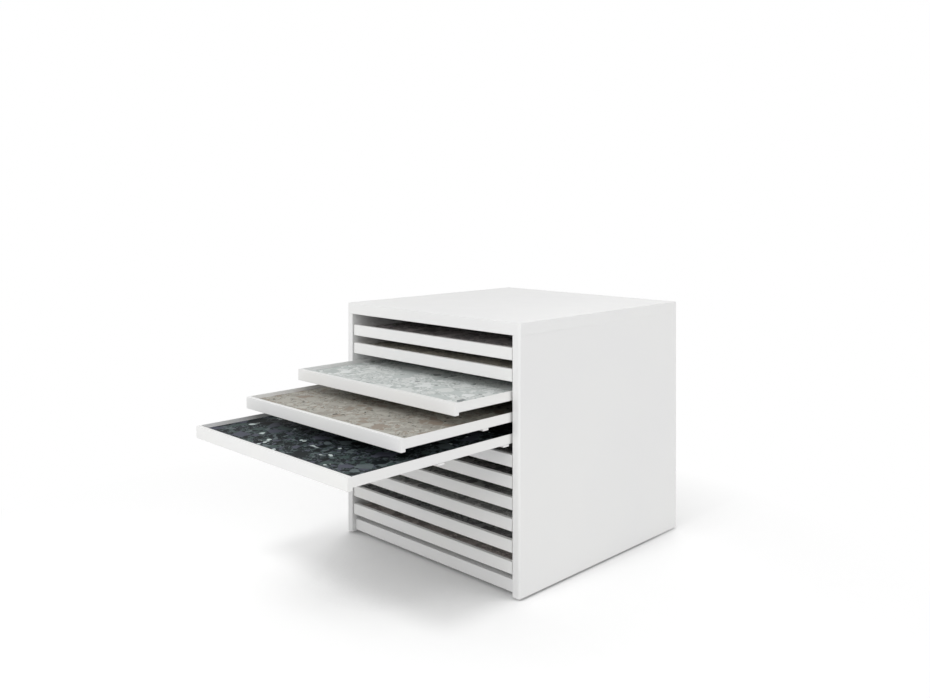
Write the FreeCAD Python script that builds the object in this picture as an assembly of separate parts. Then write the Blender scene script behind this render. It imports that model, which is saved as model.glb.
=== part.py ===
import FreeCAD, Part

import os

# Multi-drawer cabinet for flat material boards, in millimetres.
# +X is to the right, +Y to the back and +Z up. The origin is on the floor, under the middle of
# the cabinet. Drawers are numbered from the top. Drawers 3, 4 and 5 stand open at rest.

# Carcass
WIDTH = 646.0
DEPTH = 680.0
SIDE_T = 22.0
TOP_T = 30.0
BOTTOM_T = 30.0
BACK_T = 12.0
BACK_LAP = 9.5
FLOOR_GAP = 5.0
BOTTOM_RAISE = 4.5
BOTTOM_SETBACK = 12.5
CARCASS_CORNER_R = 6.0
CARCASS_EDGE_R = 1.2

# Drawer stack
DRAWER_COUNT = 11
FINGER_GAP = 21.2
TOP_GAP = 30.5
FRONT_SETBACK = 3.0
SIDE_GAP = 4.0
REST_PULL = {3: 188.0, 4: 345.0, 5: 484.0}

# Drawer
FRONT_T = 13.0
FRONT_EDGE_R = 0.8
FRONT_GRIP_R = 3.0
TRAY_RAISE = 6.0
TRAY_SHEET = 1.5
TRAY_BEND_R = 2.0
TRAY_FRONT_DROP = 3.5
TRAY_REAR_GAP = 13.0
BOARD_T = 12.0
BOARD_CLEAR = 0.5
RIM_ABOVE_BOARD = 9.5
CROSS_BAR_W = 18.0
CROSS_BAR_H = 4.5
CROSS_BAR_SHEET = 1.5
CROSS_BAR_PLACES = (255.5, 464.5)

# Telescopic runners, lying flat under the trays
RUNNER_W = 45.0
RUNNER_H = 12.7
RUNNER_SHEET = 1.2
RUNNER_PLAY = 0.3
RUNNER_RIM_H = 3.2
RUNNER_LIP = 2.8
MIDDLE_LIP = 5.8
CROWN_W = 18.0
RUNNER_INSET = 59.5
RUNNER_START = 72.0
RUNNER_END_GAP = 2.0

# Cross carriers that hold the runners between the side panels
CARRIER_W = 44.0
CARRIER_SHEET = 2.0
CARRIER_TAB_H = 27.0
CARRIER_CLEAR = 3.6
FRONT_CARRIER_INSET = 40.0
REAR_CARRIER_INSET = 68.0
CARRIER_SCREW_PITCH = 24.0

# Screws, as head radius, shank radius and whole length
CARRIER_SCREW = (3.5, 1.75, 16.0)
BACK_SCREW = (4.0, 2.0, 35.0)
FRONT_SCREW = (2.75, 1.5, 9.0)
FRONT_SCREW_HEAD_H = 2.0
FRONT_SCREW_SPREAD = 220.0
RECESS_W = 0.9
RECESS_DEPTH = 0.9
SCREW_CLEAR = 0.1
HOLE_SPARE = 1.0
BACK_SCREWS_UP = 5
BACK_SCREWS_ACROSS = 4
BACK_SCREW_END = 60.0

# Dowels between the panels
DOWEL_R = 4.0
DOWEL_IN_TOP = 16.0
DOWEL_IN_SIDE_END = 20.0
DOWEL_IN_BOTTOM = 24.0
DOWEL_IN_SIDE_FACE = 12.0
DOWEL_COUNT = 4
DOWEL_END = 70.0

# Levelling feet
FOOT_R = 20.0
FOOT_TOP_R = 17.0
FOOT_H = 6.0
FOOT_INSET_X = 65.0
FOOT_INSET_Y = 70.0
STUD_R = 4.0
STUD_IN_PANEL = 22.0
STUD_IN_FOOT = 3.5
STUD_HEX = 13.0

# Rubber buffers on the back panel
BUFFER_R = 6.0
BUFFER_STEM_R = 2.5
BUFFER_STEM = 8.0
BUFFER_PLAY = 0.3
BUFFER_SPREAD = 150.0

# Places worked out from the sizes above
Y_FRONT = -DEPTH / 2
Y_BACK = DEPTH / 2
Y_BACK_PANEL = Y_BACK - BACK_T
Y_DRAWERS = Y_FRONT + FRONT_SETBACK
X_INSIDE = WIDTH / 2 - SIDE_T
Z_SIDES = FLOOR_GAP
Z_BOTTOM = Z_SIDES + BOTTOM_RAISE
Z_BOTTOM_TOP = Z_BOTTOM + BOTTOM_T
TRAY_FLOOR_TOP = TRAY_RAISE + TRAY_SHEET
BOARD_TOP = TRAY_FLOOR_TOP + BOARD_T
FRONT_H = BOARD_TOP + RIM_ABOVE_BOARD
PITCH = FRONT_H + FINGER_GAP
RUNNER_TOP = TRAY_RAISE - CROSS_BAR_H
Z_LOWEST = Z_BOTTOM_TOP + CARRIER_CLEAR + CARRIER_SHEET + RUNNER_H - RUNNER_TOP
Z_TOP = Z_LOWEST + (DRAWER_COUNT - 1) * PITCH + FRONT_H + TOP_GAP
HEIGHT = Z_TOP + TOP_T

DRAWER_X = X_INSIDE - SIDE_GAP
TRAY_FRONT = FRONT_T
TRAY_REAR = Y_BACK_PANEL - TRAY_REAR_GAP - Y_DRAWERS
RUNNER_X = DRAWER_X - RUNNER_INSET - RUNNER_W / 2
RUNNER_END = TRAY_REAR - RUNNER_END_GAP
RUNNER_LENGTH = RUNNER_END - RUNNER_START
FRONT_CARRIER_PLACE = RUNNER_START + FRONT_CARRIER_INSET
REAR_CARRIER_PLACE = RUNNER_END - REAR_CARRIER_INSET

X = FreeCAD.Vector(1, 0, 0)
Y = FreeCAD.Vector(0, 1, 0)
Z = FreeCAD.Vector(0, 0, 1)


def at(x, y, z):
    return FreeCAD.Vector(x, y, z)


def block(x, y, z):
    """A box from three (low, high) spans."""
    low = at(x[0], y[0], z[0])
    return Part.makeBox(x[1] - x[0], y[1] - y[0], z[1] - z[0], low)


def rod(radius, length, start, direction):
    return Part.makeCylinder(radius, length, start, direction)


def profile_along_y(points, start, length):
    """A closed XZ outline drawn out along Y."""
    corners = [at(x, start, z) for x, z in points]
    return Part.Face(Part.makePolygon(corners + corners[:1])).extrude(Y * length)


def spread(low, high, count):
    return [low + (high - low) * i / (count - 1) for i in range(count)]


def mirrored(shape):
    return shape.mirror(at(0, 0, 0), X)


def both_sides(shape):
    return [shape, mirrored(shape)]


def cut_all(shape, cutters):
    return shape.cut(Part.makeCompound(cutters)) if cutters else shape


def long_edges(shape, direction, test):
    """Straight edges along a direction whose middle passes the test."""
    picked = []
    for edge in shape.Edges:
        first, last = edge.Vertexes[0].Point, edge.Vertexes[-1].Point
        run = last.sub(first)
        if run.Length > 1 and abs(run.normalize().dot(direction)) > 0.999:
            if test((first + last) * 0.5):
                picked.append(edge)
    return picked


def drawer_z(number):
    """Bottom edge of a drawer's front."""
    return Z_LOWEST + (DRAWER_COUNT - number) * PITCH


def runner_z(number):
    """Top of a drawer's runners, under the cross bars of its tray."""
    return drawer_z(number) + RUNNER_TOP


def drawer_place(number, share=1.0):
    """From drawing a drawer at its closed front's bottom edge to where it stands at rest."""
    return at(0, Y_DRAWERS - share * REST_PULL.get(number, 0.0), drawer_z(number))


def cross_recess(head, into):
    """Cutter for the cross recess in a screw head."""
    side = X if abs(into.dot(X)) < 0.5 else Y
    arms = []
    for across in (side, into.cross(side)):
        along = into.cross(across)
        reach = 2 * RECESS_W
        corner = head - across * reach - along * (RECESS_W / 2)
        loop = [corner, corner + across * 2 * reach]
        loop += [loop[1] + along * RECESS_W, corner + along * RECESS_W, corner]
        arms.append(Part.Face(Part.makePolygon(loop)).extrude(into * RECESS_DEPTH))
    return arms[0].fuse(arms[1])


def countersunk(size, head, into, grow=0.0, spare=0.0):
    """Countersunk screw, or with grow and spare the cutter for its seat."""
    head_r, shank_r, length = size
    cone_h = head_r - shank_r
    cone = Part.makeCone(head_r + grow, shank_r + grow, cone_h, head, into)
    shank = rod(shank_r + grow, length - cone_h + spare, head + into * cone_h, into)
    screw = cone.fuse(shank)
    return screw if grow else screw.cut(cross_recess(head, into))


def screw_seat(size, head, into):
    return countersunk(size, head, into, SCREW_CLEAR, HOLE_SPARE)


# Places of the fasteners, which the screws and their seats share
def carrier_centres():
    """Middle of each carrier, as its place along Y and the top of its runners."""
    places = []
    for place in (FRONT_CARRIER_PLACE, REAR_CARRIER_PLACE):
        for number in range(1, DRAWER_COUNT + 1):
            places.append((Y_DRAWERS + place, runner_z(number)))
    return places


def carrier_screw_heads():
    """Screw heads on the inner face of the right-hand carrier tabs."""
    heads = []
    for y, z in carrier_centres():
        middle = z - RUNNER_H - CARRIER_SHEET + (CARRIER_TAB_H + CARRIER_SHEET) / 2
        for step in (-0.5, 0.5):
            spot = y + step * CARRIER_SCREW_PITCH
            heads.append(at(X_INSIDE - CARRIER_SHEET, spot, middle))
    return heads


def back_screw_heads():
    """Screw heads around the edge of the back panel, on its outer face."""
    x_side = X_INSIDE + BACK_LAP / 2
    z_low = Z_BOTTOM_TOP - BACK_LAP / 2
    z_high = Z_TOP + BACK_LAP / 2
    heads = []
    for z in spread(Z_BOTTOM_TOP + BACK_SCREW_END, Z_TOP - BACK_SCREW_END, BACK_SCREWS_UP):
        heads += [at(x_side, Y_BACK, z), at(-x_side, Y_BACK, z)]
    for x in spread(BACK_SCREW_END - X_INSIDE, X_INSIDE - BACK_SCREW_END, BACK_SCREWS_ACROSS):
        heads += [at(x, Y_BACK, z_low), at(x, Y_BACK, z_high)]
    return heads


def top_dowel(y, grow=0.0):
    start = at(WIDTH / 2 - SIDE_T / 2, y, Z_TOP - DOWEL_IN_SIDE_END - grow)
    return rod(DOWEL_R, DOWEL_IN_SIDE_END + DOWEL_IN_TOP + 2 * grow, start, Z)


def bottom_dowel(y, grow=0.0):
    start = at(X_INSIDE - DOWEL_IN_BOTTOM - grow, y, Z_BOTTOM + BOTTOM_T / 2)
    return rod(DOWEL_R, DOWEL_IN_BOTTOM + DOWEL_IN_SIDE_FACE + 2 * grow, start, X)


def dowel_rows(grow=0.0):
    """Dowels of the right-hand side, or with grow the cutters for their holes."""
    places = spread(Y_FRONT + DOWEL_END, Y_BACK - DOWEL_END, DOWEL_COUNT)
    return [dowel(y, grow) for dowel in (top_dowel, bottom_dowel) for y in places]


def foot_places():
    """One foot at each corner and one under the middle, which carries the boards' weight."""
    x = WIDTH / 2 - FOOT_INSET_X
    y = DEPTH / 2 - FOOT_INSET_Y
    return [(x, -y), (-x, -y), (x, y), (-x, y), (0.0, 0.0)]


def buffer_places():
    """Buffers at the height of each tray's rear wall."""
    height = (TRAY_RAISE + FRONT_H) / 2
    for number in range(1, DRAWER_COUNT + 1):
        for x in (-BUFFER_SPREAD, BUFFER_SPREAD):
            yield x, drawer_z(number) + height


# Carcass
def back_recess():
    """The rebate that the back panel lies in, cut from the four panels around it."""
    x = X_INSIDE + BACK_LAP
    return block((-x, x), (Y_BACK_PANEL, Y_BACK), (Z_BOTTOM_TOP - BACK_LAP, Z_TOP + BACK_LAP))


def carcass_cutters():
    """Rebate, dowel holes and screw holes in the panels of the carcass."""
    cutters = [back_recess()]
    for dowel in dowel_rows(HOLE_SPARE):
        cutters += both_sides(dowel)
    for head in back_screw_heads():
        cutters.append(screw_seat(BACK_SCREW, head, -Y))
    return cutters


def side_panel():
    """Panel with well rounded outer corners and slightly eased edges elsewhere."""
    panel = block((X_INSIDE, WIDTH / 2), (Y_FRONT, Y_BACK), (Z_SIDES, Z_TOP))
    corners = long_edges(panel, Z, lambda p: p.x > X_INSIDE + 1)
    panel = panel.makeFillet(CARCASS_CORNER_R, corners)
    edges = long_edges(panel, Z, lambda p: p.x < X_INSIDE + 1 and p.y < Y_FRONT + 1)
    edges += long_edges(panel, Y, lambda p: p.x > X_INSIDE + 1 and p.z < Z_SIDES + 1)
    edges += long_edges(panel, X, lambda p: p.z < Z_SIDES + 1)
    panel = panel.makeFillet(CARCASS_EDGE_R, edges)
    seats = [screw_seat(CARRIER_SCREW, head, X) for head in carrier_screw_heads()]
    return cut_all(panel, carcass_cutters() + seats)


def top_panel():
    """Panel whose corners continue those of the side panels."""
    panel = block((-WIDTH / 2, WIDTH / 2), (Y_FRONT, Y_BACK), (Z_TOP, HEIGHT))
    panel = panel.makeFillet(CARCASS_CORNER_R, long_edges(panel, Z, lambda p: True))
    edges = long_edges(panel, X, lambda p: p.z > Z_TOP + 1)
    edges += long_edges(panel, Y, lambda p: p.z > Z_TOP + 1)
    return cut_all(panel.makeFillet(CARCASS_EDGE_R, edges), carcass_cutters())


def bottom_panel():
    front = Y_FRONT + BOTTOM_SETBACK
    panel = block((-X_INSIDE, X_INSIDE), (front, Y_BACK), (Z_BOTTOM, Z_BOTTOM_TOP))
    edges = long_edges(panel, X, lambda p: p.y < front + 1)
    panel = panel.makeFillet(CARCASS_EDGE_R, edges)
    studs = [rod(STUD_R, STUD_IN_PANEL + HOLE_SPARE, at(x, y, Z_BOTTOM), Z) for x, y in foot_places()]
    return cut_all(panel, carcass_cutters() + studs)


def back_panel():
    seats = [screw_seat(BACK_SCREW, head, -Y) for head in back_screw_heads()]
    stems = []
    for x, z in buffer_places():
        stems.append(rod(BUFFER_STEM_R, BUFFER_STEM, at(x, Y_BACK_PANEL, z), Y))
    return cut_all(back_recess(), seats + stems)


def carcass_dowels():
    return [piece for dowel in dowel_rows() for piece in both_sides(dowel)]


def back_panel_screws():
    return [countersunk(BACK_SCREW, head, -Y) for head in back_screw_heads()]


def levelling_feet():
    feet = []
    for x, y in foot_places():
        pad = Part.makeCone(FOOT_R, FOOT_TOP_R, FOOT_H, at(x, y, 0), Z)
        socket = rod(STUD_R, STUD_IN_FOOT, at(x, y, FOOT_H - STUD_IN_FOOT), Z)
        feet.append(pad.cut(socket))
    return feet


def foot_studs():
    """Threaded studs with a hexagon that fills the space between foot and panel."""
    studs = []
    for x, y in foot_places():
        low = FOOT_H - STUD_IN_FOOT
        stud = rod(STUD_R, Z_BOTTOM + STUD_IN_PANEL - low, at(x, y, low), Z)
        flats = [at(STUD_HEX / 3 ** 0.5, 0, 0)]
        turn = FreeCAD.Rotation(Z, 60)
        for _ in range(6):
            flats.append(turn.multVec(flats[-1]))
        loop = [point + at(x, y, FOOT_H) for point in flats[:6]]
        nut = Part.Face(Part.makePolygon(loop + loop[:1])).extrude(Z * (Z_BOTTOM - FOOT_H))
        studs.append(stud.fuse(nut))
    return studs


def rear_buffers():
    length = TRAY_REAR_GAP - BUFFER_PLAY
    buffers = []
    for x, z in buffer_places():
        body = rod(BUFFER_R, length, at(x, Y_BACK_PANEL, z), -Y)
        stem = rod(BUFFER_STEM_R, BUFFER_STEM, at(x, Y_BACK_PANEL, z), Y)
        buffers.append(body.fuse(stem))
    return buffers


# Carriers and runners
def runner_carriers(place):
    """Steel strips across the cabinet, one under each drawer, with tabs turned up at the sides."""
    low = -RUNNER_H - CARRIER_SHEET
    inner = X_INSIDE - CARRIER_SHEET
    tab = low + CARRIER_SHEET + CARRIER_TAB_H
    outline = [(-X_INSIDE, low), (X_INSIDE, low), (X_INSIDE, tab), (inner, tab), (inner, -RUNNER_H)]
    outline += [(-inner, -RUNNER_H), (-inner, tab), (-X_INSIDE, tab)]
    strips = []
    for number in range(1, DRAWER_COUNT + 1):
        strip = profile_along_y(outline, Y_DRAWERS + place - CARRIER_W / 2, CARRIER_W)
        strip.translate(Z * runner_z(number))
        seats = [screw_seat(CARRIER_SCREW, head, X) for head in carrier_screw_heads()]
        near = [seat for seat in seats if strip.BoundBox.intersect(seat.BoundBox)]
        strips.append(cut_all(strip, [half for seat in near for half in both_sides(seat)]))
    return strips


def carrier_screws():
    screws = [countersunk(CARRIER_SCREW, head, X) for head in carrier_screw_heads()]
    return [piece for screw in screws for piece in both_sides(screw)]


def channel(half, low, high, lip):
    """Outline of a flat channel with its lips turned in at the top."""
    t = RUNNER_SHEET
    right = [(half, low), (half, high), (half - t - lip, high), (half - t - lip, high - t)]
    right += [(half - t, high - t), (half - t, low + t)]
    return right + [(-x, z) for x, z in reversed(right)]


def cabinet_rail():
    """Outer member, fixed to the carriers."""
    outline = channel(RUNNER_W / 2, -RUNNER_H, -RUNNER_RIM_H, RUNNER_LIP)
    return profile_along_y(outline, RUNNER_START, RUNNER_LENGTH)


def middle_rail():
    """Middle member, which runs inside the cabinet rail."""
    gap = RUNNER_SHEET + RUNNER_PLAY
    outline = channel(RUNNER_W / 2 - gap, gap - RUNNER_H, -RUNNER_RIM_H - gap, MIDDLE_LIP)
    return profile_along_y(outline, RUNNER_START, RUNNER_LENGTH)


def tray_rail():
    """Inner member: a hat whose crown meets the tray's cross bars, with turned-up rims."""
    t = RUNNER_SHEET
    gap = 2 * (RUNNER_SHEET + RUNNER_PLAY)
    low = gap - RUNNER_H
    rim = -RUNNER_RIM_H - gap
    half = RUNNER_W / 2 - gap
    crown = CROWN_W / 2
    right = [(crown - t, -t), (crown - t, low), (half, low), (half, rim)]
    right += [(half - t, rim), (half - t, low + t), (crown, low + t), (crown, 0)]
    outline = right + [(-x, z) for x, z in reversed(right)]
    return profile_along_y(outline, RUNNER_START, RUNNER_LENGTH)


def cabinet_rails(side):
    rails = []
    for number in range(1, DRAWER_COUNT + 1):
        rail = cabinet_rail()
        rail.translate(at(side * RUNNER_X, Y_DRAWERS, runner_z(number)))
        rails.append(rail)
    return rails


def pair_of(rail):
    """Left and right copies of a runner member."""
    pair = [rail.copy(), rail.copy()]
    for copy, side in zip(pair, (-1, 1)):
        copy.translate(at(side * RUNNER_X, 0, RUNNER_TOP))
    return pair


# Drawer, drawn with the bottom edge of its closed front on the X axis
def drawer_front():
    """Bar whose inner top edge is well rounded, where fingers reach over it."""
    front = block((-DRAWER_X, DRAWER_X), (0, FRONT_T), (0, FRONT_H))
    edges = long_edges(front, X, lambda p: p.y < FRONT_T / 2)
    edges += long_edges(front, Z, lambda p: p.y < FRONT_T / 2)
    front = front.makeFillet(FRONT_EDGE_R, edges)
    grip = long_edges(front, X, lambda p: p.y > FRONT_T / 2 and p.z > FRONT_H / 2)
    return cut_all(front.makeFillet(FRONT_GRIP_R, grip), front_screw_holes())


def front_screw_spots():
    """Screws through the tray's front wall, clear of the board below them."""
    height = (BOARD_TOP + FRONT_H - TRAY_FRONT_DROP) / 2
    return [at(x, TRAY_FRONT + TRAY_SHEET, height) for x in (-FRONT_SCREW_SPREAD, 0, FRONT_SCREW_SPREAD)]


def front_screw_holes():
    shank_r, length = FRONT_SCREW[1:]
    reach = length + TRAY_SHEET
    return [rod(shank_r, reach, spot, -Y) for spot in front_screw_spots()]


def front_screws():
    head_r, shank_r, length = FRONT_SCREW
    screws = []
    for spot in front_screw_spots():
        head = rod(head_r, FRONT_SCREW_HEAD_H, spot, Y)
        screw = head.fuse(rod(shank_r, length, spot, -Y))
        screws.append(screw.cut(cross_recess(spot + Y * FRONT_SCREW_HEAD_H, -Y)))
    return screws


def bent_up(solid, low, radius):
    """Rounds the bends where a pan's side and rear walls turn up from its floor."""
    bends = long_edges(solid, Y, lambda p: abs(p.z - low) < 0.1)
    bends += long_edges(solid, X, lambda p: abs(p.z - low) < 0.1 and p.y > TRAY_REAR / 2)
    return solid.makeFillet(radius, bends)


def tray_pan():
    """Folded sheet pan, whose front wall stays lower than the front it is screwed to."""
    t = TRAY_SHEET
    x = DRAWER_X
    pan = block((-x, x), (TRAY_FRONT, TRAY_REAR), (TRAY_RAISE, FRONT_H))
    hollow = block((t - x, x - t), (TRAY_FRONT + t, TRAY_REAR - t), (TRAY_FLOOR_TOP, FRONT_H))
    pan = bent_up(pan, TRAY_RAISE, TRAY_BEND_R)
    pan = pan.cut(bent_up(hollow, TRAY_FLOOR_TOP, TRAY_BEND_R - t))
    step = block((t - x, x - t), (TRAY_FRONT, TRAY_FRONT + t), (FRONT_H - TRAY_FRONT_DROP, FRONT_H))
    return cut_all(pan.cut(step), front_screw_holes())


def cross_bar(place):
    """Pressed bar under the tray, hollow and open below."""
    t = CROSS_BAR_SHEET
    x = DRAWER_X
    low, high = place - CROSS_BAR_W / 2, place + CROSS_BAR_W / 2
    bar = block((-x, x), (low, high), (RUNNER_TOP, TRAY_RAISE))
    return bar.cut(block((t - x, x - t), (low + t, high - t), (RUNNER_TOP, TRAY_RAISE - t)))


def drawer_tray():
    bars = [cross_bar(place) for place in CROSS_BAR_PLACES]
    return [tray_pan()] + bars + pair_of(tray_rail())


def drawer_board():
    x = DRAWER_X - TRAY_SHEET - BOARD_CLEAR
    front = TRAY_FRONT + TRAY_SHEET + BOARD_CLEAR
    rear = TRAY_REAR - TRAY_SHEET - BOARD_CLEAR
    return block((-x, x), (front, rear), (TRAY_FLOOR_TOP, BOARD_TOP))


def placed(solids, place):
    copies = [solid.copy() for solid in solids]
    for copy in copies:
        copy.translate(place)
    return copies


def carcass_nodes():
    side = side_panel()
    return {
        "left_side_panel": [mirrored(side)],
        "right_side_panel": [side],
        "top_panel": [top_panel()],
        "bottom_panel": [bottom_panel()],
        "back_panel": [back_panel()],
        "back_panel_screws": back_panel_screws(),
        "carcass_dowels": carcass_dowels(),
        "levelling_feet": levelling_feet(),
        "foot_studs": foot_studs(),
        "front_runner_carriers": runner_carriers(FRONT_CARRIER_PLACE),
        "rear_runner_carriers": runner_carriers(REAR_CARRIER_PLACE),
        "carrier_screws": carrier_screws(),
        "left_cabinet_rails": cabinet_rails(-1),
        "right_cabinet_rails": cabinet_rails(1),
        "rear_buffers": rear_buffers(),
    }


def drawer_nodes():
    front = [drawer_front()] + front_screws()
    tray = drawer_tray()
    board = [drawer_board()]
    middle = pair_of(middle_rail())
    nodes = {}
    for number in range(1, DRAWER_COUNT + 1):
        place = drawer_place(number)
        nodes[f"drawer_{number:02d}_front"] = placed(front, place)
        nodes[f"drawer_{number:02d}_tray"] = placed(tray, place)
        nodes[f"drawer_{number:02d}_board"] = placed(board, place)
        nodes[f"slider_{number:02d}"] = placed(middle, drawer_place(number, 0.5))
    return nodes


def write(nodes):
    os.makedirs("parts", exist_ok=True)
    for name, solids in nodes.items():
        solids = [solid for shape in solids for solid in shape.Solids]
        bad = [solid for solid in solids if not solid.isValid() or solid.Volume <= 0]
        shape = solids[0] if len(solids) == 1 else Part.makeCompound(solids)
        shape.exportStep(os.path.join("parts", f"{name}.step"))
        print(f"{name}: {len(solids)} solids, {shape.Volume / 1000:.1f} cm3, {len(bad)} bad")


write({**carcass_nodes(), **drawer_nodes()})
print(f"cabinet {WIDTH:.1f} wide, {DEPTH:.1f} deep, {HEIGHT:.1f} high, drawer pitch {PITCH:.1f}")
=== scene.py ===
import math

import bpy
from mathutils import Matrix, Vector

# The look of a multi-drawer cabinet, in metres. +X is to the right and +Y to the back, and drawers
# are numbered from the top.

# Camera
LENS = 34.885
SHIFT_Y = -0.1532
CAMERA_PLACE = (1.7076, -1.9149, 0.9193)
CAMERA_TURN = math.radians(44.776)

# Light and backdrop
SKY_STRENGTH = 0.568
BACKDROP_STRENGTH = 1.0
LAMP_AIM = (0.0, 0.0, 0.3)
LAMPS = (
    ("key_light", (0.25, -2.55, 2.75), 0.6, 23.6),
    ("front_light", (1.0, -4.0, 2.5), 2.5, 35.1),
    ("left_light", (-3.0, -3.0, 2.5), 2.5, 16.8),
    ("back_light", (-1.5, 3.0, 3.0), 2.5, 23.3),
    ("right_light", (4.0, 0.5, 1.0), 2.0, 38.5),
)
FLOOR_SIZE = 240.0
FLOOR_COLOUR = 0.86
# Painted shade on the floor: ambient occlusion within this reach, over the range that follows, sets the
# floor's seen colour between the two levels after it, darker where the object hides the sky
FLOOR_REACH = 0.5
FLOOR_OPEN = (0.36, 0.58)
FLOOR_SEEN_PAINTED_SHADE = (0.805, 1.09)
FLOOR_FADE_AHEAD = 0.45
FLOOR_FADE = (0.7, 1.3)

# Edge rounding
WELD_DISTANCE = 1e-5
SMOOTH_ANGLE = math.radians(30)
ROUNDED_ANGLE = math.radians(60)
ROUNDED_LENGTH = 0.006
EDGE_SEGMENTS = 2
EDGE_WIDTHS = {
    "side_panel": 0.0005,
    "top_panel": 0.0005,
    "bottom_panel": 0.0005,
    "back_panel": 0.0005,
    "_front": 0.0003,
    "_tray": 0.00035,
    "_board": 0.0006,
    "carriers": 0.0003,
    "rails": 0.00025,
    "slider": 0.00025,
}


# Colours
def linear(level):
    share = level / 255
    return share / 12.92 if share <= 0.04045 else ((share + 0.055) / 1.055) ** 2.4


def colour(red, green, blue):
    """A colour from display levels of 0 to 255."""
    return (linear(red), linear(green), linear(blue), 1.0)


def grey(level):
    return colour(level, level, level)


# Node building
NOISE_USUAL = (0.3, 0.7)


class Graph:
    """Nodes of a material or world, joined by their inputs' names."""

    def __init__(self, owner):
        owner.use_nodes = True
        self.owner = owner
        self.tree = owner.node_tree

    def set(self, node, inputs):
        for name, value in inputs.items():
            if isinstance(value, bpy.types.NodeSocket):
                self.tree.links.new(value, node.inputs[name])
            else:
                node.inputs[name].default_value = value

    def add(self, kind, inputs, **settings):
        node = self.tree.nodes.new("ShaderNode" + kind)
        for name, value in settings.items():
            setattr(node, name, value)
        self.set(node, inputs)
        return node

    def finish(self, **inputs):
        """Settings of the shader itself, with spaces written as underscores."""
        shader = self.tree.nodes["Principled BSDF"]
        self.set(shader, {name.replace("_", " "): value for name, value in inputs.items()})
        return self.owner

    def place(self, shift=(0, 0, 0), stretch=(1, 1, 1)):
        """Place on the piece, in metres."""
        source = self.add("TexCoord", {}).outputs["Object"]
        mapping = self.add("Mapping", {"Vector": source, "Location": shift, "Scale": stretch})
        return mapping.outputs["Vector"]

    def noise(self, where, size, detail=2.0, roughness=0.5):
        """Soft random values around 0.5, with blots of that size in metres."""
        inputs = {"Vector": where, "Scale": 1 / size, "Detail": detail, "Roughness": roughness}
        return self.add("TexNoise", inputs).outputs["Fac"]

    def maths(self, operation, *values):
        node = self.add("Math", dict(enumerate(values)), operation=operation)
        return node.outputs["Value"]

    def span(self, value, low, high, to_low=0.0, to_high=1.0):
        names = ("Value", "From Min", "From Max", "To Min", "To Max")
        values = (value, low, high, to_low, to_high)
        return self.add("MapRange", dict(zip(names, values))).outputs["Result"]

    def spread(self, noise, to_low=0.0, to_high=1.0):
        """Noise brought from its usual values to others."""
        return self.span(noise, *NOISE_USUAL, to_low, to_high)

    def blend(self, share, first, second, kind="MIX"):
        """Mixed colours: 6 and 7 are the colour inputs and 2 is the colour output."""
        inputs = {0: share, 6: first, 7: second}
        return self.add("Mix", inputs, data_type="RGBA", blend_type=kind).outputs[2]

    def steps(self, value, colours):
        """One of several colours, each for an even share of the values from 0 to 1."""
        node = self.add("ValToRGB", {"Fac": value})
        node.color_ramp.interpolation = "CONSTANT"
        stops = node.color_ramp.elements
        stops[0].color = colours[0]
        stops.remove(stops[1])
        for i, shade in enumerate(colours[1:], start=1):
            stops.new(i / len(colours)).color = shade
        return node.outputs["Color"]

    def seen(self, first, second):
        """The second shader for what is seen, straight or in a reflection, and the first for light."""
        path = self.add("LightPath", {}).outputs
        share = self.maths("MAXIMUM", path["Is Camera Ray"], path["Is Glossy Ray"])
        share = self.maths("MAXIMUM", share, path["Is Transmission Ray"])
        return self.add("MixShader", {0: share, 1: first, 2: second}).outputs[0]

    def bump(self, height, depth, under=None):
        """Normal for a relief of that depth in metres."""
        inputs = {"Height": height, "Strength": 1.0, "Distance": depth}
        if under is not None:
            inputs["Normal"] = under
        return self.add("Bump", inputs).outputs["Normal"]


def new_graph(name):
    return Graph(bpy.data.materials.new(name))


# Finishes, with the sizes and depths of their textures in metres
WHITE = grey(231)
LACQUER_TINT = colour(233, 233, 232)
LACQUER_DRIFT = 0.35
LACQUER_PEEL = {"size": 0.0035, "depth": 0.00002}
LACQUER_GRAIN = {"size": 0.0009, "depth": 0.000004}
LACQUER_SMEAR = 0.06
LACQUER_SHEEN = (0.36, 0.44)
LACQUER_SHINE = 0.22

POWDER_TINT = colour(233, 233, 231)
POWDER_SPECK = grey(190)
POWDER_SPECKED = (0.2, 0.45, 0.06, 0.0)
POWDER_DRIFT = 0.2
POWDER_GRAIN = {"size": 0.0007, "depth": 0.00003}
POWDER_WAVE = {"size": 0.006, "depth": 0.00003}
POWDER_SHEEN = (0.42, 0.54)
POWDER_SHINE = 0.3

ZINC_TONES = (colour(186, 190, 194), colour(205, 207, 208))
ZINC_DRAWN = {"size": 0.0006, "depth": 0.000004}
ZINC_STRETCH = (1, 0.02, 1)
ZINC_CLOUD = 0.03
ZINC_SHEEN = (0.28, 0.42)

PLASTIC_TINT = grey(38)
PLASTIC_DEPTH = 0.00004

BEECH_TONES = (colour(214, 178, 138), colour(188, 146, 104))
BEECH_FLECK = colour(140, 98, 64)
BEECH_FLECKED = (0.6, 0.7, 0.0, 0.5)
BEECH_GRAIN = {"size": 0.0025, "depth": 0.00005}
BEECH_STRETCH = (1, 1, 0.06)
BEECH_FLECK_SIZE = 0.0006
BEECH_FLECK_STRETCH = (1, 1, 0.2)


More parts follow.
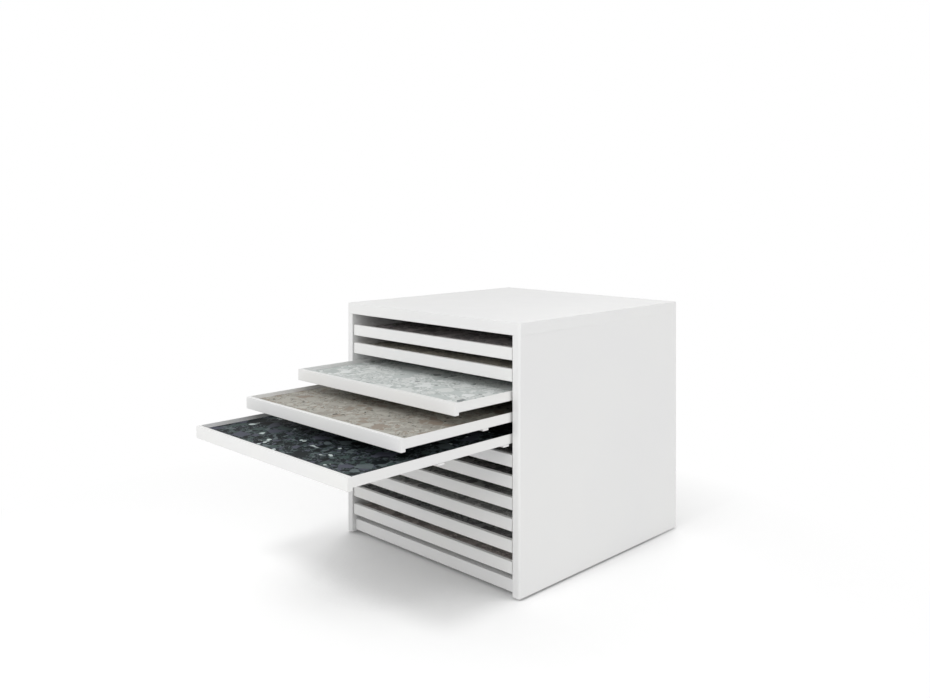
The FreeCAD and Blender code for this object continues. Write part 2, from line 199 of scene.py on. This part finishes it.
def lacquer(name):
    """Satin white lacquer on board: a faint orange peel and slight unevenness of sheen."""
    g = new_graph(name)
    where = g.place()
    drift = g.noise(where, LACQUER_DRIFT, 2.0)
    tone = g.blend(g.spread(drift), WHITE, LACQUER_TINT)
    peel = g.bump(g.noise(where, LACQUER_PEEL["size"], 1.0), LACQUER_PEEL["depth"])
    fine = g.bump(g.noise(where, LACQUER_GRAIN["size"], 0.0), LACQUER_GRAIN["depth"], peel)
    sheen = g.spread(g.noise(where, LACQUER_SMEAR, 3.0), *LACQUER_SHEEN)
    return g.finish(Base_Color=tone, Roughness=sheen, Normal=fine, Specular_IOR_Level=LACQUER_SHINE)


def powder_coat(name):
    """White powder coat on steel: a fine even texture."""
    g = new_graph(name)
    where = g.place()
    grain = g.noise(where, POWDER_GRAIN["size"], 2.0, 0.6)
    drift = g.noise(where, POWDER_DRIFT, 2.0)
    tone = g.blend(g.spread(drift), WHITE, POWDER_TINT)
    tone = g.blend(g.span(grain, *POWDER_SPECKED), tone, POWDER_SPECK)
    relief = g.bump(grain, POWDER_GRAIN["depth"])
    wave = g.bump(g.noise(where, POWDER_WAVE["size"], 1.0), POWDER_WAVE["depth"], relief)
    sheen = g.spread(grain, *POWDER_SHEEN)
    return g.finish(Base_Color=tone, Roughness=sheen, Normal=wave, Specular_IOR_Level=POWDER_SHINE)


def zinc(name):
    """Zinc-plated steel, drawn along the runners."""
    g = new_graph(name)
    where = g.place()
    drawn = g.noise(g.place(stretch=ZINC_STRETCH), ZINC_DRAWN["size"], 3.0, 0.6)
    cloud = g.noise(where, ZINC_CLOUD, 3.0)
    tone = g.blend(g.spread(cloud), *ZINC_TONES)
    sheen = g.spread(g.blend(0.5, drawn, cloud), *ZINC_SHEEN)
    relief = g.bump(drawn, ZINC_DRAWN["depth"])
    return g.finish(Base_Color=tone, Metallic=1.0, Roughness=sheen, Normal=relief)


def plastic(name, shade, size, sheen):
    g = new_graph(name)
    where = g.place()
    grain = g.noise(where, size, 2.0)
    tone = g.blend(g.spread(grain), shade, PLASTIC_TINT)
    relief = g.bump(grain, PLASTIC_DEPTH)
    return g.finish(Base_Color=tone, Roughness=sheen, Normal=relief)


def beech(name):
    g = new_graph(name)
    along = g.noise(g.place(stretch=BEECH_STRETCH), BEECH_GRAIN["size"], 4.0, 0.6)
    flecks = g.noise(g.place(stretch=BEECH_FLECK_STRETCH), BEECH_FLECK_SIZE, 1.0)
    tone = g.blend(g.spread(along), *BEECH_TONES)
    tone = g.blend(g.span(flecks, *BEECH_FLECKED), tone, BEECH_FLECK)
    relief = g.bump(along, BEECH_GRAIN["depth"])
    return g.finish(Base_Color=tone, Roughness=0.6, Normal=relief)


# Terrazzo
CHIP_SIZES = (0.004, 0.010, 0.020, 0.036)
CHIP_SHARES = (0.75, 0.42, 0.34, 0.26)
CHIP_JOINT = 0.03
CHIP_FADE = 0.04
CHIP_WARP = 0.16
CHIP_TINT = 0.15
CHIP_VEIN = 0.18
SHADE_REPEATS = 4
BOARD_STEP = (0.731, 0.417, 0.233)
SAND_SIZE = 0.0012
SAND_SHADE = 0.8
SAND_SHARE = 0.35
CLOUD_SIZE = 0.05
CLOUD_SHADE = 1.12
CLOUD_SHARE = 0.25
PIT_SIZE = 0.0022
PITTED = (0.22, 0.3)
PIT_DEPTH = 0.0001
GROUND_SHEEN = 0.7
CHIP_SHEEN = 0.55
BOARD_SHINE = 0.05


def shaded(level, share):
    """A lighter or darker shade of a colour."""
    return tuple(min(255, share * part) for part in level)


def stone(ground, *shares, grain=1.0):
    """Terrazzo whose chips are lighter and darker shades of its ground."""
    return ground, [shaded(ground, share) for share in shares], grain


# Boards, as the ground, the chips and the size of the grain
STONES = {
    "board_warm_grey": stone((175, 170, 170), 1.14, 0.86, 1.06, 0.74),
    "board_ivory": stone((205, 200, 189), 1.07, 0.9, 1.03, 0.82),
    "board_pale_grey": (
        (206, 209, 207),
        [(229, 232, 231), (196, 202, 200), (219, 222, 220), (184, 190, 188)],
        1.1,
    ),
    "board_taupe": (
        (168, 167, 159),
        [(186, 184, 176), (154, 150, 142), (174, 171, 163), (147, 135, 123)],
        0.9,
    ),
    "board_slate": (
        (42, 48, 50),
        [(4, 7, 8), (96, 106, 108), (20, 25, 27), (66, 80, 78), (80, 82, 94)],
        1.0,
    ),
    "board_stone_grey": stone((170, 165, 163), 1.16, 0.84, 1.06, 0.7, grain=0.9),
    "board_dark_grey": stone((122, 120, 118), 1.2, 0.8, 1.08, 0.62),
    "board_mid_grey": stone((154, 154, 152), 1.16, 0.84, 1.08, 0.7, grain=0.8),
    "board_light_grey": stone((185, 185, 183), 1.14, 0.88, 1.05, 0.78),
    "board_dove_grey": stone((148, 148, 148), 1.18, 0.84, 1.08, 0.7),
    "board_blush": stone((182, 174, 170), 1.12, 0.88, 1.05, 0.8, grain=0.9),
}
# Rare chips, as their colour and the ranks of the sizes they come in
RARE_CHIPS = {
    "board_slate": ((204, 216, 214), (1, 2)),
    "board_taupe": ((70, 68, 64), (0, 1)),
    "board_pale_grey": ((120, 126, 126), (0, 1, 2)),
}


def chip_layer(g, where, warp, size):
    """Place, random values and edge distance of angular cells of that size."""
    bent = g.add("VectorMath", {0: warp, "Scale": CHIP_WARP * size}, operation="SCALE").outputs["Vector"]
    spot = g.add("VectorMath", {0: where, 1: bent}, operation="ADD").outputs["Vector"]
    cells = {"Vector": spot, "Scale": 1 / size, "Randomness": 1.0}
    chance = g.add("TexVoronoi", cells).outputs["Color"]
    edge = g.add("TexVoronoi", cells, feature="DISTANCE_TO_EDGE").outputs["Distance"]
    return spot, g.add("SeparateColor", {"Color": chance}).outputs, edge


def terrazzo(name, order):
    """Honed chips of four sizes in a cement ground, laid out afresh for each board."""
    ground, chips, grain = STONES[name]
    g = new_graph(name)
    where = g.place(shift=[order * step for step in BOARD_STEP])
    sand = g.noise(where, SAND_SIZE, 2.0, 0.7)
    cloud = g.noise(where, CLOUD_SIZE, 2.0)
    base = colour(*ground)
    tone = g.blend(g.spread(sand, 0.0, SAND_SHARE), base, colour(*shaded(ground, SAND_SHADE)))
    tone = g.blend(g.spread(cloud, 0.0, CLOUD_SHARE), tone, colour(*shaded(ground, CLOUD_SHADE)))
    rare, rare_ranks = RARE_CHIPS.get(name, (chips[0], ()))
    chipped = None
    for rank, (size, share) in enumerate(zip(CHIP_SIZES, CHIP_SHARES)):
        size *= grain
        shades = [colour(*chip) for chip in chips] * SHADE_REPEATS
        if rank in rare_ranks:
            shades.append(colour(*rare))
        warp = g.add("TexNoise", {"Vector": where, "Scale": 1.5 / size, "Detail": 2.0}).outputs["Color"]
        spot, chance, edge = chip_layer(g, where, warp, size)
        kept = g.maths("LESS_THAN", chance["Red"], share)
        inside = g.maths("MULTIPLY", kept, g.span(edge, CHIP_JOINT, CHIP_JOINT + CHIP_FADE))
        shade = g.steps(chance["Green"], shades)
        shade = g.blend(g.span(chance["Blue"], 0.0, 1.0, 0.0, CHIP_TINT), shade, base)
        vein = g.noise(spot, 0.3 * size, 3.0, 0.6)
        shade = g.blend(g.span(vein, 0.35, 0.7, 0.0, CHIP_VEIN), shade, base)
        tone = g.blend(inside, tone, shade)
        chipped = inside if chipped is None else g.maths("MAXIMUM", chipped, inside)
    sheen = g.span(chipped, 0.0, 1.0, GROUND_SHEEN, CHIP_SHEEN)
    pits = g.span(g.noise(where, PIT_SIZE, 1.0), *PITTED)
    relief = g.bump(g.maths("MAXIMUM", pits, chipped), PIT_DEPTH)
    return g.finish(Base_Color=tone, Roughness=sheen, Normal=relief, Specular_IOR_Level=BOARD_SHINE)


def finishes():
    """Materials by the names of the record's slots."""
    made = {
        "carcass_white": lacquer("carcass_white"),
        "drawer_white": powder_coat("drawer_white"),
        "zinc_steel": zinc("zinc_steel"),
        "dowel_beech": beech("dowel_beech"),
        "foot_plastic": plastic("foot_plastic", grey(30), 0.0012, 0.5),
        "buffer_rubber": plastic("buffer_rubber", grey(24), 0.003, 0.8),
    }
    for order, name in enumerate(STONES, start=1):
        made[name] = terrazzo(name, order)
    return made


def dress_nodes(nodes):
    made = finishes()
    for node in nodes.values():
        for slot in node.material_slots:
            slot.material = made[slot.material.name.split(".")[0]]


# Edges
def edge_marker():
    """Node group that welds a mesh, smooths its curves and marks its long sharp edges."""
    tree = bpy.data.node_groups.new("mark_long_edges", "GeometryNodeTree")
    tree.interface.new_socket("Mesh", in_out="INPUT", socket_type="NodeSocketGeometry")
    tree.interface.new_socket("Mesh", in_out="OUTPUT", socket_type="NodeSocketGeometry")

    def add(kind, inputs, **settings):
        node = tree.nodes.new(kind)
        for name, value in settings.items():
            setattr(node, name, value)
        for name, value in inputs.items():
            if isinstance(value, bpy.types.NodeSocket):
                tree.links.new(value, node.inputs[name])
            else:
                node.inputs[name].default_value = value
        return node

    source = tree.nodes.new("NodeGroupInput").outputs[0]
    clean = add("GeometryNodeRemoveAttribute", {"Geometry": source, "Name": "custom_normal"})
    weld = add("GeometryNodeMergeByDistance", {"Geometry": clean.outputs[0], "Distance": WELD_DISTANCE})
    angle = add("GeometryNodeInputMeshEdgeAngle", {}).outputs["Unsigned Angle"]
    soft = add("FunctionNodeCompare", {"A": angle, "B": SMOOTH_ANGLE}, operation="LESS_THAN")
    faces = add("GeometryNodeSetShadeSmooth", {"Geometry": weld.outputs[0], "Shade Smooth": True})
    edges = {"Geometry": faces.outputs[0], "Shade Smooth": soft.outputs[0]}
    shaded = add("GeometryNodeSetShadeSmooth", edges, domain="EDGE")
    sharp = add("FunctionNodeCompare", {"A": angle, "B": ROUNDED_ANGLE}, operation="GREATER_THAN")
    ends = add("GeometryNodeInputMeshEdgeVertices", {})
    gap = {0: ends.outputs["Position 1"], 1: ends.outputs["Position 2"]}
    run = add("ShaderNodeVectorMath", gap, operation="DISTANCE").outputs["Value"]
    long = add("FunctionNodeCompare", {"A": run, "B": ROUNDED_LENGTH}, operation="GREATER_THAN")
    both = add("FunctionNodeBooleanMath", {0: sharp.outputs[0], 1: long.outputs[0]})
    mark = {"Geometry": shaded.outputs[0], "Name": "bevel_weight_edge", "Value": both.outputs[0]}
    stored = add("GeometryNodeStoreNamedAttribute", mark, domain="EDGE", data_type="FLOAT")
    tree.links.new(stored.outputs[0], tree.nodes.new("NodeGroupOutput").inputs[0])
    return tree


def round_edges(nodes):
    marker = edge_marker()
    for name, node in nodes.items():
        mark = node.modifiers.new("mark_long_edges", "NODES")
        mark.node_group = marker
        widths = [width for part, width in EDGE_WIDTHS.items() if part in name]
        if widths:
            bevel = node.modifiers.new("rounded_edges", "BEVEL")
            bevel.limit_method = "WEIGHT"
            bevel.width = widths[0]
            bevel.segments = EDGE_SEGMENTS
            bevel.harden_normals = True


# Stage
def make_camera():
    data = bpy.data.cameras.new("camera")
    data.lens = LENS
    data.shift_y = SHIFT_Y
    data.clip_end = FLOOR_SIZE
    camera = bpy.data.objects.new("camera", data)
    camera.location = CAMERA_PLACE
    camera.rotation_euler = (math.pi / 2, 0, CAMERA_TURN)
    bpy.context.scene.collection.objects.link(camera)
    bpy.context.scene.camera = camera


def make_floor():
    """White floor with painted shade, darker under the object, that fades into the backdrop around a
    point ahead of it.
    """
    half = FLOOR_SIZE / 2
    mesh = bpy.data.meshes.new("floor")
    corners = [(-half, -half, 0), (half, -half, 0), (half, half, 0), (-half, half, 0)]
    mesh.from_pydata(corners, [], [(0, 1, 2, 3)])
    floor = bpy.data.objects.new("floor", mesh)
    bpy.context.scene.collection.objects.link(floor)
    g = new_graph("floor")
    lit = g.add("BsdfDiffuse", {"Color": (FLOOR_COLOUR,) * 3 + (1.0,)}).outputs[0]
    # Painted shade: ambient occlusion darkens the seen floor colour under and around the object
    under = g.add("AmbientOcclusion", {"Distance": FLOOR_REACH}).outputs["AO"]
    near_painted_shade = g.add("BsdfDiffuse", {"Color": g.span(under, *FLOOR_OPEN, *FLOOR_SEEN_PAINTED_SHADE)}).outputs[0]
    white = g.add("Emission", {"Strength": BACKDROP_STRENGTH}).outputs[0]
    from_ahead = g.place(shift=(0, FLOOR_FADE_AHEAD, 0))
    away = g.add("VectorMath", {0: from_ahead}, operation="LENGTH").outputs["Value"]
    shown = g.add("MixShader", {0: g.span(away, *FLOOR_FADE), 1: near_painted_shade, 2: white}).outputs[0]
    g.tree.links.new(g.seen(lit, shown), g.tree.nodes["Material Output"].inputs["Surface"])
    mesh.materials.append(g.owner)


def make_sky():
    world = bpy.data.worlds.new("sky")
    bpy.context.scene.world = world
    g = Graph(world)
    white = (1.0, 1.0, 1.0, 1.0)
    lit = g.tree.nodes["Background"]
    g.set(lit, {"Color": white, "Strength": SKY_STRENGTH})
    shown = g.add("Background", {"Color": white, "Strength": BACKDROP_STRENGTH})
    seen = g.seen(lit.outputs[0], shown.outputs[0])
    g.tree.links.new(seen, g.tree.nodes["World Output"].inputs["Surface"])


def make_lamp(name, place, size, power):
    data = bpy.data.lights.new(name, "AREA")
    data.shape = "DISK"
    data.size = size
    data.energy = power
    lamp = bpy.data.objects.new(name, data)
    lamp.location = place
    away = lamp.location - Vector(LAMP_AIM)
    lamp.rotation_euler = away.to_track_quat("Z", "Y").to_euler()
    bpy.context.scene.collection.objects.link(lamp)


bpy.context.scene.view_settings.view_transform = "Standard"
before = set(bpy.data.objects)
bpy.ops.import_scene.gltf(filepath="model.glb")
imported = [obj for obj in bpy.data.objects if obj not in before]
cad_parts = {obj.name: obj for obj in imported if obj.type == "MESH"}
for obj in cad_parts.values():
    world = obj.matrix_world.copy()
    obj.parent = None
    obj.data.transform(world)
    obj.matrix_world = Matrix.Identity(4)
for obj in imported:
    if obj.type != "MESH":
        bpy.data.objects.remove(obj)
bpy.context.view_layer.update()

dress_nodes(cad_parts)
round_edges(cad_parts)
make_camera()
make_floor()
make_sky()
for lamp in LAMPS:
    make_lamp(*lamp)
